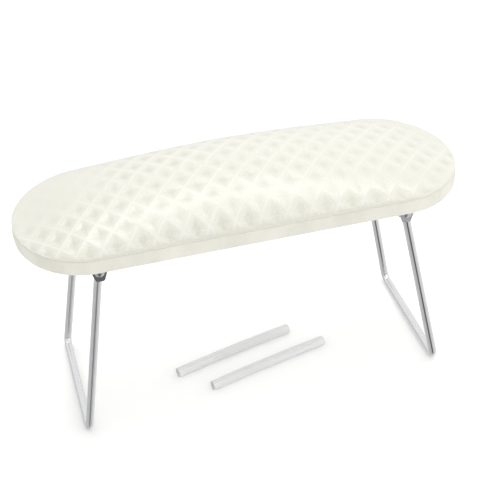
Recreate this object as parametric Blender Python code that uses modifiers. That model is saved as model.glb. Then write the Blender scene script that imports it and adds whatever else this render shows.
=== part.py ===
"""Manicure arm rest: a padded top on two folding wire legs, with two loose foot sleeves.

Units are metres and +Z is up. The floor is Z = 0. X runs along the pad, the front is -Y,
and the origin is on the floor under the middle of the pad. The two sleeves lie on the
floor between the legs, clear of the way that the legs swing.
"""

import math

import bmesh
import bpy
from mathutils import Matrix, Vector

# ---------------------------------------------------------------- driving dimensions
PAD_LENGTH = 0.400            # pad, end to end
PAD_WIDTH = 0.144             # pad, front to back
END_LENGTH = 0.0625           # length of each rounded end of the pad, along X
UNDERSIDE_HEIGHT = 0.174      # floor to the pad's underside
BAND_HEIGHT = 0.0135          # side band, underside to seam
CROWN_HEIGHT = 0.031          # seam to the highest part of the top
END_FALL = 0.90               # share of the crown's rise that is gone at the pad's ends
RIM_HEIGHT = 0.0010           # upright edge of the top, above the seam
BAND_CORNER = 0.0015          # rounding at the band's lower edge

LEATHER = 0.0012              # thickness of cover and band
HEM_WIDTH = 0.010             # band folded under the board
LINING_THICKNESS = 0.0012
BOARD_THICKNESS = 0.006

ROD_DIAMETER = 0.0072
PIVOT_SPACING = 0.273         # between the two legs' pivot axes, along X
LEG_WIDTH = 0.115             # between the centre lines of a leg's uprights, at its pivots
FOOT_WIDTH = 0.133            # the same at the floor
FLARE_DROP = 0.0130           # pivot axis to where the uprights start to spread
LEG_SPLAY = math.radians(9.9)
LEG_BEND_RADIUS = 0.0075      # to the rod's centre line

BRACKET_WALL = 0.0012
CHEEK_TOP = 0.0162            # width of a cheek where it leaves the base
CHEEK_BOTTOM = 0.0080
CHEEK_MARGIN = 0.0070         # metal left under a rivet's hole
FLANGE_REACH = 0.0135         # flange that the screws hold, past the inner cheek

RIVET_SHANK = 0.0030
RIVET_HEAD = 0.0084
RIVET_DOME = 0.0018

SCREW_SHANK = 0.0028
SCREW_HEAD = 0.0055
SCREW_HEAD_HEIGHT = 0.0017
SCREW_LENGTH = 0.0080         # under the head
SCREW_PITCH = 0.0100          # between a bracket's two screws
RECESS_WIDTH = 0.0008
RECESS_LENGTH = 0.0032
RECESS_DEPTH = 0.0009

SLEEVE_LENGTH = 0.122
SLEEVE_WALL = 0.0011
SLEEVE_GRIP = 0.0002          # how much smaller the bore is than the rod it stretches over
SLEEVE_ANGLE = math.radians(15.2)
SLEEVE_SIDE_GAP = 0.0284      # between the sleeves' middles, along Y
SLEEVE_STAGGER = 0.0135       # each sleeve's middle from the pad's middle, along X
SLEEVE_SETBACK = 0.0140       # pad's centre line to the midpoint of the two, along -Y

GAP = 0.0003                  # between faces that touch on the real object
ROD_CLEARANCE = 0.0004        # between a rod and a cheek
HOLE_CLEARANCE = 0.0003       # around shanks, on the radius

# ---------------------------------------------------------------- worked out from them
ROD_RADIUS = ROD_DIAMETER / 2
SEAM_Z = UNDERSIDE_HEIGHT + BAND_HEIGHT
BOARD_Z = UNDERSIDE_HEIGHT + LEATHER + GAP
FOAM_Z = BOARD_Z + BOARD_THICKNESS + GAP
PIVOT_Z = UNDERSIDE_HEIGHT - GAP - BRACKET_WALL - ROD_CLEARANCE - ROD_RADIUS
LEG_LENGTH = (PIVOT_Z - ROD_RADIUS) / math.cos(LEG_SPLAY)
CHEEK_INSIDE = ROD_RADIUS + ROD_CLEARANCE
CHEEK_OUTSIDE = CHEEK_INSIDE + BRACKET_WALL
BASE_TOP = UNDERSIDE_HEIGHT - GAP
BASE_BOTTOM = BASE_TOP - BRACKET_WALL
CHEEK_Z = PIVOT_Z - RIVET_SHANK / 2 - HOLE_CLEARANCE - CHEEK_MARGIN
SCREW_OFFSET = CHEEK_OUTSIDE + FLANGE_REACH / 2
CORE_INSET = LEATHER + GAP
SLEEVE_DIAMETER = ROD_DIAMETER - SLEEVE_GRIP + 2 * SLEEVE_WALL

ARC_STEPS = 28                # segments in each rounded end of the pad
ROUND_SIDES = 28
SMALL_SIDES = 20
BEND_STEPS = 8
FLARE_STEPS = 3
DOME_STEPS = 5
STRAIGHT_STEPS = 14           # segments in each straight side of the pad
CROWN_STEPS = 12
CORNER_STEPS = 3

LEATHER_COLOUR = (0.86, 0.86, 0.79, 1.0)
CHROME_COLOUR = (0.80, 0.81, 0.82, 1.0)

SIDES = {"left": -1, "right": 1}
ROWS = {"front": -1, "rear": 1}


# ---------------------------------------------------------------- scene and helpers
def clear_scene():
    """Remove every object that the file opened with."""
    for item in list(bpy.data.objects):
        bpy.data.objects.remove(item, do_unlink=True)


def new_collection(name):
    """Make a collection and link it to the scene."""
    collection = bpy.data.collections.new(name)
    bpy.context.scene.collection.children.link(collection)
    return collection


def new_material(name, colour, roughness, metallic=0.0, transmission=0.0):
    """Make a Principled material."""
    material = bpy.data.materials.new(name)
    material.use_nodes = True
    shader = material.node_tree.nodes["Principled BSDF"]
    shader.inputs["Base Color"].default_value = colour
    shader.inputs["Roughness"].default_value = roughness
    shader.inputs["Metallic"].default_value = metallic
    shader.inputs["Transmission Weight"].default_value = transmission
    material.diffuse_color = colour
    return material


def add_object(name, data, collection, material=None, parent=None):
    """Make an object in a collection, with a material and a parent."""
    item = bpy.data.objects.new(name, data)
    collection.objects.link(item)
    if material is not None:
        data.materials.clear()
        data.materials.append(material)
    item.parent = parent
    return item


def add_empty(name, location, collection, parent=None):
    """Make an empty, such as one on a joint's axis."""
    item = add_object(name, None, collection, parent=parent)
    item.location = location
    item.empty_display_size = 0.02
    return item


def mesh_from(name, shape):
    """Turn a bmesh into a mesh whose round faces are smooth."""
    bmesh.ops.recalc_face_normals(shape, faces=shape.faces)
    mesh = bpy.data.meshes.new(name)
    shape.to_mesh(mesh)
    shape.free()
    smooth(mesh)
    return mesh


def smooth(mesh):
    """Shade round faces smooth and keep corners over 35 degrees sharp."""
    mesh.shade_smooth()
    mesh.set_sharp_from_angle(angle=math.radians(35))


def baked_mesh(item):
    """Return an object's shape as the viewport shows it, as a mesh of its own."""
    bpy.context.view_layer.update()
    graph = bpy.context.evaluated_depsgraph_get()
    mesh = bpy.data.meshes.new_from_object(item.evaluated_get(graph), depsgraph=graph)
    mesh.name = item.name
    return mesh


def mesh_object_from_curve(item, collection, material, parent=None):
    """Swap a curve object for a welded mesh object of the same name and place."""
    mesh = baked_mesh(item)
    shape = bmesh.new()
    shape.from_mesh(mesh)
    bmesh.ops.remove_doubles(shape, verts=shape.verts, dist=1e-6)
    shape.to_mesh(mesh)
    shape.free()
    smooth(mesh)
    name = item.name
    matrix = item.matrix_world.copy()
    bpy.data.objects.remove(item, do_unlink=True)
    solid = add_object(name, mesh, collection, material, parent)
    solid.matrix_world = matrix
    return solid


def boolean(item, tool, operation="DIFFERENCE"):
    """Cut or join a solid with another through a Boolean modifier."""
    modifier = item.modifiers.new(f"{operation.lower()}_{tool.name}"[:60], "BOOLEAN")
    modifier.operation = operation
    modifier.solver = "EXACT"
    modifier.object = tool


def hide_tool(item):
    """Mark an object as a cutter or a guide."""
    item.hide_render = True
    item.display_type = "WIRE"


def cylinder_tool(name, radius, depth, place, axis, collection, parent=None):
    """Make a closed cylinder for cutting, centred on place along an axis."""
    shape = bmesh.new()
    bmesh.ops.create_cone(shape, cap_ends=True, segments=SMALL_SIDES, radius1=radius,
                          radius2=radius, depth=depth)
    turn = Vector((0, 0, 1)).rotation_difference(Vector(axis)).to_matrix().to_4x4()
    bmesh.ops.transform(shape, matrix=Matrix.Translation(place) @ turn, verts=shape.verts)
    item = add_object(name, mesh_from(name, shape), collection, parent=parent)
    hide_tool(item)
    return item


def box_tool(name, low, high, collection, parent=None):
    """Make a box between two corners, for cutting or joining."""
    low = Vector(low)
    high = Vector(high)
    size = high - low
    shape = bmesh.new()
    bmesh.ops.create_cube(shape, size=1.0)
    bmesh.ops.scale(shape, vec=size, verts=shape.verts)
    bmesh.ops.translate(shape, vec=(low + high) / 2, verts=shape.verts)
    item = add_object(name, mesh_from(name, shape), collection, parent=parent)
    hide_tool(item)
    return item


# ---------------------------------------------------------------- the pad
def pad_outline(inset, share=1.0, side_steps=STRAIGHT_STEPS):
    """Return the pad's outline, counterclockwise, drawn in by inset and scaled to a share."""
    straight = PAD_LENGTH / 2 - END_LENGTH
    along = (END_LENGTH - inset) * share
    across = (PAD_WIDTH / 2 - inset) * share
    points = []
    for centre, start in ((straight, -math.pi / 2), (-straight, math.pi / 2)):
        for step in range(ARC_STEPS + 1):
            angle = start + math.pi * step / ARC_STEPS
            points.append((centre + along * math.cos(angle), across * math.sin(angle)))
        side = math.copysign(across, centre)
        for step in range(1, side_steps):
            points.append((centre * (1 - 2 * step / side_steps), side))
    return points


def flat_piece(name, inset, bottom, thickness, collection, material, parent):
    """Make a flat plate of the pad's outline as a filled 2D curve."""
    data = bpy.data.curves.new(name, "CURVE")
    data.dimensions = "2D"
    data.fill_mode = "BOTH"
    data.extrude = thickness / 2
    points = pad_outline(inset, side_steps=1)
    spline = data.splines.new("POLY")
    spline.points.add(len(points) - 1)
    for point, (x, y) in zip(spline.points, points):
        point.co = (x, y, 0.0, 1.0)
    spline.use_cyclic_u = True
    item = add_object(name, data, collection, parent=parent)
    item.location.z = bottom + thickness / 2
    bpy.context.view_layer.update()
    return mesh_object_from_curve(item, collection, material, parent)


def level_ring(inset, height):
    """Return the pad's outline at one height, drawn in by inset."""
    return [(x, y, height) for x, y in pad_outline(inset)]


def crown_rings(inset, shoulder_z):
    """Return the top's rings from its shoulder up to the narrow strip along its middle."""
    rings = []
    last = math.sin(math.pi / 2 * (1 - 1 / CROWN_STEPS))
    rise = CROWN_HEIGHT - RIM_HEIGHT
    for step in range(CROWN_STEPS):
        angle = math.pi / 2 * step / CROWN_STEPS
        lift = math.sin(angle) / last
        ring = []
        for x, y in pad_outline(inset, math.cos(angle)):
            fall = END_FALL * (2 * x / PAD_LENGTH) ** 2
            ring.append((x, y, shoulder_z + rise * (1 - fall) * lift))
        rings.append(ring)
    return rings


def rings_to_shape(rings, close_top=False, close_bottom=False):
    """Bridge rings that all follow the pad's outline into one surface."""
    shape = bmesh.new()
    loops = []
    for points in rings:
        ring = [shape.verts.new(point) for point in points]
        loops.append([shape.edges.new(pair) for pair in zip(ring, ring[1:] + ring[:1])])
    for lower, upper in zip(loops, loops[1:]):
        bmesh.ops.bridge_loops(shape, edges=lower + upper)
    if close_bottom:
        bmesh.ops.contextual_create(shape, geom=loops[0])
    if close_top:
        close_across(shape, ring)
    return shape


def close_across(shape, ring):
    """Fill a ring with strips that run from its rear side to its front side."""
    tip = ARC_STEPS // 2
    half = len(ring) // 2
    for step in range(half):
        rear = [ring[tip + step], ring[(tip + step + 1) % len(ring)]]
        front = [ring[tip - step - 1], ring[tip - step]]
        corners = dict.fromkeys(rear + front)
        shape.faces.new(list(corners))


def band_rings():
    """Return the band's outer rings from the hem, round its lower edge, to the seam."""
    rings = [level_ring(HEM_WIDTH, UNDERSIDE_HEIGHT)]
    for step in range(CORNER_STEPS + 1):
        angle = math.pi / 2 * (1 - step / CORNER_STEPS)
        rings.append(level_ring(BAND_CORNER * (1 - math.cos(angle)),
                                UNDERSIDE_HEIGHT + BAND_CORNER * (1 - math.sin(angle))))
    return rings + [level_ring(0.0, SEAM_Z)]


def build_pad(parts, tools, materials, root):
    """Make the cover, band, foam, board and lining."""
    rim_z = SEAM_Z + GAP
    shoulder_z = SEAM_Z + RIM_HEIGHT
    shape = rings_to_shape([level_ring(0.0, rim_z)] + crown_rings(0.0, shoulder_z),
                           close_top=True)
    cover = add_object("top_cover", mesh_from("top_cover", shape), parts,
                       materials["leather"], root)
    thicken(cover, LEATHER)

    shape = rings_to_shape(band_rings())
    band = add_object("side_band", mesh_from("side_band", shape), parts,
                      materials["band"], root)
    thicken(band, LEATHER)

    rings = [level_ring(CORE_INSET, FOAM_Z)]
    rings += crown_rings(CORE_INSET, shoulder_z - CORE_INSET)
    shape = rings_to_shape(rings, close_top=True, close_bottom=True)
    add_object("foam_pad", mesh_from("foam_pad", shape), parts, materials["foam"], root)

    board = flat_piece("base_board", CORE_INSET, BOARD_Z, BOARD_THICKNESS, parts,
                       materials["board"], root)
    lining = flat_piece("bottom_lining", HEM_WIDTH + GAP, UNDERSIDE_HEIGHT, LINING_THICKNESS,
                        parts, materials["lining"], root)
    for x, y, name in screw_places():
        radius = SCREW_SHANK / 2 + HOLE_CLEARANCE
        middle = (x, y, BOARD_Z)
        tool = cylinder_tool(f"drill_{name}", radius, 0.03, middle, (0, 0, 1), tools, root)
        boolean(board, tool)
        boolean(lining, tool)


def thicken(item, thickness):
    """Give an open surface its thickness, inwards."""
    modifier = item.modifiers.new("thickness", "SOLIDIFY")
    modifier.thickness = thickness
    modifier.offset = -1.0
    modifier.use_even_offset = True


# ---------------------------------------------------------------- brackets and fasteners
def corner_places():
    """Yield each upright's name, X side, Y side and pivot point."""
    for side, x_sign in SIDES.items():
        for row, y_sign in ROWS.items():
            yield (f"{row}_{side}", x_sign, y_sign,
                   Vector((x_sign * PIVOT_SPACING / 2, y_sign * LEG_WIDTH / 2, PIVOT_Z)))


def screw_places():
    """Return every screw's X, Y and name."""
    places = []
    for name, _, y_sign, pivot in corner_places():
        for number, shift in (("outer", 1), ("inner", -1)):
            x = pivot.x + shift * math.copysign(SCREW_PITCH / 2, pivot.x)
            places.append((x, pivot.y - y_sign * SCREW_OFFSET, f"{name}_{number}"))
    return places


def cheek_tool(name, x_sign, y_low, y_high, tools):
    """Make one cheek of a bracket around the pivot point, as a flat outline extruded."""
    data = bpy.data.curves.new(name, "CURVE")
    data.dimensions = "2D"
    data.fill_mode = "BOTH"
    data.extrude = (y_high - y_low) / 2
    low = CHEEK_Z - PIVOT_Z
    high = BASE_TOP - PIVOT_Z - BRACKET_WALL / 2
    rounding = BRACKET_WALL
    corners = [(-CHEEK_TOP / 2, high), (-CHEEK_BOTTOM / 2, low + rounding),
               (-CHEEK_BOTTOM / 2 + rounding, low), (CHEEK_BOTTOM / 2 - rounding, low),
               (CHEEK_BOTTOM / 2, low + rounding), (CHEEK_TOP / 2, high)]
    spline = data.splines.new("POLY")
    spline.points.add(len(corners) - 1)
    for point, (x, z) in zip(spline.points, corners):
        point.co = (x_sign * x, z, 0.0, 1.0)
    spline.use_cyclic_u = True
    item = add_object(name, data, tools)
    item.rotation_euler.x = math.pi / 2
    item.location.y = (y_low + y_high) / 2
    bpy.context.view_layer.update()
    solid = mesh_object_from_curve(item, tools, None)
    hide_tool(solid)
    return solid


def build_bracket_mesh(x_sign, y_sign, tools):
    """Make one bracket's mesh around its pivot point and return it.

    The base lies flat under the board. Two cheeks hold the rod between them, and a web
    on the outboard side stops the leg at its splay.
    """
    label = f"{'right' if x_sign > 0 else 'left'}_{'rear' if y_sign > 0 else 'front'}"
    outer = y_sign * CHEEK_OUTSIDE
    inner = -y_sign * (CHEEK_OUTSIDE + FLANGE_REACH)
    base_low = BASE_BOTTOM - PIVOT_Z
    base_high = BASE_TOP - PIVOT_Z
    base = box_tool(f"base_{label}", (-CHEEK_TOP / 2, min(outer, inner), base_low),
                    (CHEEK_TOP / 2, max(outer, inner), base_high), tools)
    for number, y in enumerate((-CHEEK_OUTSIDE, CHEEK_INSIDE)):
        boolean(base, cheek_tool(f"cheek_{number}_{label}", x_sign, y, y + BRACKET_WALL, tools),
                "UNION")
    web = web_tool(f"web_{label}", x_sign, tools)
    boolean(base, web, "UNION")
    pin_radius = RIVET_SHANK / 2 + HOLE_CLEARANCE
    boolean(base, cylinder_tool(f"pin_hole_{label}", pin_radius, 4 * CHEEK_OUTSIDE, (0, 0, 0),
                                (0, 1, 0), tools))
    screw_radius = SCREW_SHANK / 2 + HOLE_CLEARANCE
    for shift in (-1, 1):
        place = (shift * SCREW_PITCH / 2, -y_sign * SCREW_OFFSET, base_low)
        boolean(base, cylinder_tool(f"screw_hole_{shift + 1}_{label}", screw_radius, 0.01, place,
                                    (0, 0, 1), tools))
    mesh = baked_mesh(base)
    smooth(mesh)
    return mesh


def web_tool(name, x_sign, tools):
    """Make the web between the cheeks, parallel to the rod at its splay.

    It ends below where the cheeks get narrower than its outer face, and above inside
    the base.
    """
    near = ROD_RADIUS + GAP
    far = near + BRACKET_WALL
    narrowing = (CHEEK_TOP - CHEEK_BOTTOM) / 2 / (BASE_TOP - CHEEK_Z)
    spare = CHEEK_TOP / 2 - narrowing * (BASE_TOP - PIVOT_Z) - far / math.cos(LEG_SPLAY)
    drop = spare / (narrowing + math.tan(LEG_SPLAY))
    middle_of_base = (BASE_TOP + BASE_BOTTOM) / 2 - PIVOT_Z
    rise = (middle_of_base - far * math.sin(LEG_SPLAY)) / math.cos(LEG_SPLAY)
    side = CHEEK_INSIDE + BRACKET_WALL / 2
    item = box_tool(name, (near, -side, -drop), (far, side, rise), tools)
    turn = Matrix.Rotation(-LEG_SPLAY, 4, "Y")
    item.data.transform(Matrix.Scale(x_sign, 4, (1, 0, 0)) @ turn)
    if x_sign < 0:
        item.data.flip_normals()
    return item


def turned_mesh(name, profile, sides):
    """Turn a profile of (radius, height) pairs about Z, welded shut at the axis."""
    shape = bmesh.new()
    verts = [shape.verts.new((radius, 0, height)) for radius, height in profile]
    edges = [shape.edges.new(pair) for pair in zip(verts, verts[1:])]
    bmesh.ops.spin(shape, geom=verts + edges, cent=(0, 0, 0), axis=(0, 0, 1),
                   angle=2 * math.pi, steps=sides, use_merge=True)
    bmesh.ops.remove_doubles(shape, verts=shape.verts, dist=1e-6)
    return mesh_from(name, shape)


def rivet_profile():
    """Return the rivet's profile along Z, head first, centred on the rod."""
    seat = CHEEK_OUTSIDE + GAP
    formed = RIVET_HEAD * 0.7
    shank = RIVET_SHANK / 2
    dome = [(RIVET_HEAD / 2 * math.cos(a), seat + RIVET_DOME * math.sin(a))
            for a in (math.pi / 2 * step / DOME_STEPS for step in range(DOME_STEPS))]
    back = [(0.0, -seat - RIVET_DOME * 0.7), (formed / 2 * 0.7, -seat - RIVET_DOME * 0.6),
            (formed / 2, -seat), (shank, -seat)]
    return back + [(shank, seat)] + dome + [(0.0, seat + RIVET_DOME)]


def screw_profile():
    """Return the screw's profile along Z, with the head's seat at 0 and the tip up."""
    head = SCREW_HEAD / 2
    shank = SCREW_SHANK / 2
    return [(0.0, -SCREW_HEAD_HEIGHT), (head * 0.55, -SCREW_HEAD_HEIGHT),
            (head * 0.88, -SCREW_HEAD_HEIGHT * 0.7), (head, -SCREW_HEAD_HEIGHT * 0.25),
            (head, 0.0), (shank, 0.0), (shank, SCREW_LENGTH - shank), (0.0, SCREW_LENGTH)]


def build_screw_mesh(tools):
    """Make one screw with a cross recess in its head."""
    body = add_object("screw_body", turned_mesh("screw_body", screw_profile(), SMALL_SIDES), tools)
    hide_tool(body)
    for number, (x, y) in enumerate(((RECESS_LENGTH, RECESS_WIDTH), (RECESS_WIDTH, RECESS_LENGTH))):
        low = (-x / 2, -y / 2, -SCREW_HEAD_HEIGHT - 0.001)
        high = (x / 2, y / 2, -SCREW_HEAD_HEIGHT + RECESS_DEPTH)
        boolean(body, box_tool(f"recess_{number}", low, high, tools))
    mesh = baked_mesh(body)
    smooth(mesh)
    return mesh


def build_fittings(parts, tools, materials, root):
    """Make the four brackets with their rivets, and the eight screws."""
    screw_mesh = build_screw_mesh(tools)
    rivet_mesh = turned_mesh("rivet", rivet_profile(), SMALL_SIDES)
    for name, x_sign, y_sign, pivot in corner_places():
        mesh = build_bracket_mesh(x_sign, y_sign, tools)
        bracket = add_object(f"bracket_{name}", mesh, parts, materials["bracket"], root)
        bracket.location = pivot
        rivet = add_object(f"rivet_{name}", rivet_mesh, parts, materials["rivet"], root)
        rivet.location = pivot
        rivet.rotation_euler.x = -y_sign * math.pi / 2
    for x, y, name in screw_places():
        screw = add_object(f"screw_{name}", screw_mesh, parts, materials["screw"], root)
        screw.location = (x, y, BASE_BOTTOM - GAP)


# ---------------------------------------------------------------- legs and sleeves
def rounded_corner(before, corner, after, radius, steps):
    """Return the points of a bend of a radius at the corner between two straight runs."""
    back = (before - corner).normalized()
    ahead = (after - corner).normalized()
    half_angle = back.angle(ahead) / 2
    middle = corner + (back + ahead).normalized() * radius / math.sin(half_angle)
    start = corner + back * radius / math.tan(half_angle) - middle
    end = corner + ahead * radius / math.tan(half_angle) - middle
    return [middle + radius * start.slerp(end, step / steps) for step in range(steps + 1)]


def leg_path():
    """Return a leg's centre line and rod radius factors, hanging from its pivot axis."""
    half = LEG_WIDTH / 2
    top = Vector((0, -half, 0))
    flare = Vector((0, -half, -FLARE_DROP))
    foot = Vector((0, -FOOT_WIDTH / 2, -LEG_LENGTH))
    middle = Vector((0, 0, -LEG_LENGTH))
    front = []
    for step in range(DOME_STEPS + 1):
        rise = ROD_RADIUS * math.cos(math.pi / 2 * step / DOME_STEPS)
        radius = math.sqrt(max(0.02, 1 - (rise / ROD_RADIUS) ** 2))
        front.append((Vector((0, -half, rise)), radius))
    bends = rounded_corner(top, flare, foot, 4 * LEG_BEND_RADIUS, FLARE_STEPS)
    bends += rounded_corner(flare, foot, middle, LEG_BEND_RADIUS, BEND_STEPS)
    front += [(place, 1.0) for place in bends]
    rear = [(Vector((x, -y, z)), radius) for (x, y, z), radius in reversed(front)]
    return front + rear


def build_leg(side, x_sign, parts, tools, materials, root):
    """Make one U-shaped leg, riveted through the ends of its rod."""
    pivot = add_empty(f"leg_{side}_pivot", (x_sign * PIVOT_SPACING / 2, 0, PIVOT_Z), parts, root)
    pivot.rotation_euler.y = -x_sign * LEG_SPLAY
    name = f"leg_{side}"
    data = bpy.data.curves.new(name, "CURVE")
    data.dimensions = "3D"
    data.bevel_depth = ROD_RADIUS
    data.bevel_resolution = 6
    data.use_fill_caps = True
    path = leg_path()
    spline = data.splines.new("POLY")
    spline.points.add(len(path) - 1)
    for point, (place, radius) in zip(spline.points, path):
        point.co = (*place, 1.0)
        point.radius = radius
    curve = add_object(name, data, parts, parent=pivot)
    bpy.context.view_layer.update()
    leg = mesh_object_from_curve(curve, parts, materials["rod"], pivot)
    leg.matrix_parent_inverse = Matrix.Identity(4)
    leg.matrix_basis = Matrix.Identity(4)
    radius = RIVET_SHANK / 2 + HOLE_CLEARANCE
    for row, y_sign in ROWS.items():
        place = (0, y_sign * LEG_WIDTH / 2, 0)
        tool = cylinder_tool(f"cross_hole_{row}_{side}", radius, 3 * ROD_RADIUS, place,
                             (0, 1, 0), tools, pivot)
        boolean(leg, tool)


def build_sleeve(name, x, y, parts, materials, root):
    """Make one loose silicone sleeve lying on the floor."""
    shape = bmesh.new()
    bmesh.ops.create_cone(shape, cap_ends=False, segments=ROUND_SIDES, radius1=SLEEVE_DIAMETER / 2,
                          radius2=SLEEVE_DIAMETER / 2, depth=SLEEVE_LENGTH)
    bmesh.ops.rotate(shape, cent=(0, 0, 0), verts=shape.verts,
                     matrix=Matrix.Rotation(math.pi / 2, 3, "Y"))
    sleeve = add_object(name, mesh_from(name, shape), parts, materials["silicone"], root)
    thicken(sleeve, SLEEVE_WALL)
    sleeve.location = (x, y, SLEEVE_DIAMETER / 2)
    sleeve.rotation_euler.z = SLEEVE_ANGLE


def build_materials():
    """Return the part's materials by a plain name."""
    return {
        "leather": new_material("pearl_leather", LEATHER_COLOUR, 0.42),
        "band": new_material("band_leather", LEATHER_COLOUR, 0.5),
        "foam": new_material("foam", (0.88, 0.86, 0.72, 1.0), 0.95),
        "board": new_material("plywood", (0.63, 0.47, 0.29, 1.0), 0.75),
        "lining": new_material("lining_cloth", (0.83, 0.82, 0.77, 1.0), 0.9),
        "bracket": new_material("bracket_chrome", CHROME_COLOUR, 0.12, metallic=1.0),
        "rod": new_material("rod_chrome", CHROME_COLOUR, 0.08, metallic=1.0),
        "rivet": new_material("rivet_steel", CHROME_COLOUR, 0.2, metallic=1.0),
        "screw": new_material("screw_steel", (0.62, 0.63, 0.64, 1.0), 0.3, metallic=1.0),
        "silicone": new_material("clear_silicone", (0.9, 0.91, 0.91, 1.0), 0.35,
                                 transmission=0.7),
    }


def main():
    """Build the whole arm rest."""
    clear_scene()
    parts = new_collection("manicure_arm_rest")
    tools = new_collection("cutters")
    materials = build_materials()
    root = add_empty("arm_rest", (0, 0, 0), parts)

    build_pad(parts, tools, materials, root)
    build_fittings(parts, tools, materials, root)
    for side, x_sign in SIDES.items():
        build_leg(side, x_sign, parts, tools, materials, root)
    rear_y = -SLEEVE_SETBACK + SLEEVE_SIDE_GAP / 2
    build_sleeve("sleeve_rear", -SLEEVE_STAGGER, rear_y, parts, materials, root)
    build_sleeve("sleeve_front", SLEEVE_STAGGER, rear_y - SLEEVE_SIDE_GAP, parts, materials, root)


main()
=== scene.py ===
"""Looks for a padded manicure arm rest on folding wire legs.

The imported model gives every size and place. The soft pieces are remade over it, the rods and
fittings get their finishes, and a pale studio is set up round them. Metres throughout, +Z up.
"""

import logging
import math
from dataclasses import dataclass, field
from enum import Enum

import bmesh
import bpy
from mathutils import Matrix, Vector
from mathutils.bvhtree import BVHTree


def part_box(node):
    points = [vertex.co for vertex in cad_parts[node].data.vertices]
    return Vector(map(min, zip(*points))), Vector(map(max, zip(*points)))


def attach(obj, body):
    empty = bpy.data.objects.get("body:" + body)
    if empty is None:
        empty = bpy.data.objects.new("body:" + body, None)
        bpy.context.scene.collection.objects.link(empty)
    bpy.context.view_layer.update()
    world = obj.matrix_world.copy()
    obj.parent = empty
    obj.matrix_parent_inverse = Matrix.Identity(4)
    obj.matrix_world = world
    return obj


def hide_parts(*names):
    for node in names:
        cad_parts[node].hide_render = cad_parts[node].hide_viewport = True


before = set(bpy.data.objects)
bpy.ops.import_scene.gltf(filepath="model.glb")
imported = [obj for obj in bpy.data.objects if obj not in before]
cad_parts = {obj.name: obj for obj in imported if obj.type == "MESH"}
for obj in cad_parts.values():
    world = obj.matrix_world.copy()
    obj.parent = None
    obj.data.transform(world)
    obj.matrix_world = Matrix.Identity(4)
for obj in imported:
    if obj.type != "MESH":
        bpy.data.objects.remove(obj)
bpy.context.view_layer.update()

log = logging.getLogger("arm_rest")

Point2 = tuple[float, float]
Point3 = tuple[float, float, float]
Colour = tuple[float, float, float]
Ring = list[bmesh.types.BMVert]

MM = 0.001
SLEEVE_TURN = math.radians(15.2)


class Side(Enum):
    """Which end of the rest a leg stands at."""

    LEFT = "left"
    RIGHT = "right"


class Row(Enum):
    """Which long edge of the rest something is near."""

    FRONT = "front"
    REAR = "rear"


# ---------------------------------------------------------------- small sums
# Each wave: its size, its turns per metre along X and Y, and its share of the seed.
RIPPLE_WAVES = ((1.0, 61.0, 23.0, 1.0), (0.7, -37.0, 83.0, 2.1),
                (0.5, 149.0, -71.0, 0.7), (0.4, 97.0, 97.0, 1.0))


def smoothstep(low: float, high: float, value: float) -> float:
    """Ease from 0 at low to 1 at high.

    Args:
        low: Where the rise starts.
        high: Where the rise ends.
        value: The place to read.

    Returns:
        The eased share, from 0 to 1.
    """
    share = min(1.0, max(0.0, (value - low) / (high - low)))
    return share * share * (3 - 2 * share)


def ripple(x: float, y: float, seed: float = 0.0) -> float:
    """Return a soft uneven wave from about -1 to 1, the same each run.

    Args:
        x: First place, in metres.
        y: Second place, in metres.
        seed: Moves the pattern.

    Returns:
        The wave's height there.
    """
    total = sum(size * math.sin(along * x + across * y + shift * seed)
                for size, along, across, shift in RIPPLE_WAVES)
    return total / sum(wave[0] for wave in RIPPLE_WAVES)


def object_from(name: str, shape: bmesh.types.BMesh, finish: bpy.types.Material,
                smooth: bool = True) -> bpy.types.Object:
    """Turn a bmesh into an object with one finish.

    Args:
        name: Name of the piece.
        shape: Its geometry, which is freed.
        finish: Its material.
        smooth: Whether its faces shade smoothly.

    Returns:
        The new object, linked to the scene.
    """
    bmesh.ops.recalc_face_normals(shape, faces=shape.faces)
    mesh = bpy.data.meshes.new(name)
    shape.to_mesh(mesh)
    shape.free()
    mesh.polygons.foreach_set("use_smooth", [smooth] * len(mesh.polygons))
    mesh.materials.append(finish)
    item = bpy.data.objects.new(name, mesh)
    bpy.context.scene.collection.objects.link(item)
    return item


def bridge(shape: bmesh.types.BMesh, lower: Ring, upper: Ring) -> None:
    """Join two closed rings of the same count with quads.

    Args:
        shape: Where the faces go.
        lower: One ring.
        upper: The other.
    """
    count = len(lower)
    for i in range(count):
        j = (i + 1) % count
        shape.faces.new((lower[i], lower[j], upper[j], upper[i]))


def close_across(shape: bmesh.types.BMesh, ring: Ring) -> None:
    """Fill a narrow ring with strips across it.

    Args:
        shape: Where the faces go.
        ring: The ring, whose first half holds its right-hand tip.
    """
    count = len(ring)
    tip = max(range(count // 2), key=lambda i: ring[i].co.x)
    for step in range(count // 2):
        corners = dict.fromkeys([ring[(tip + step) % count], ring[(tip + step + 1) % count],
                                 ring[(tip - step - 1) % count], ring[(tip - step) % count]])
        if len(corners) > 2:
            shape.faces.new(list(corners))


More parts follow.
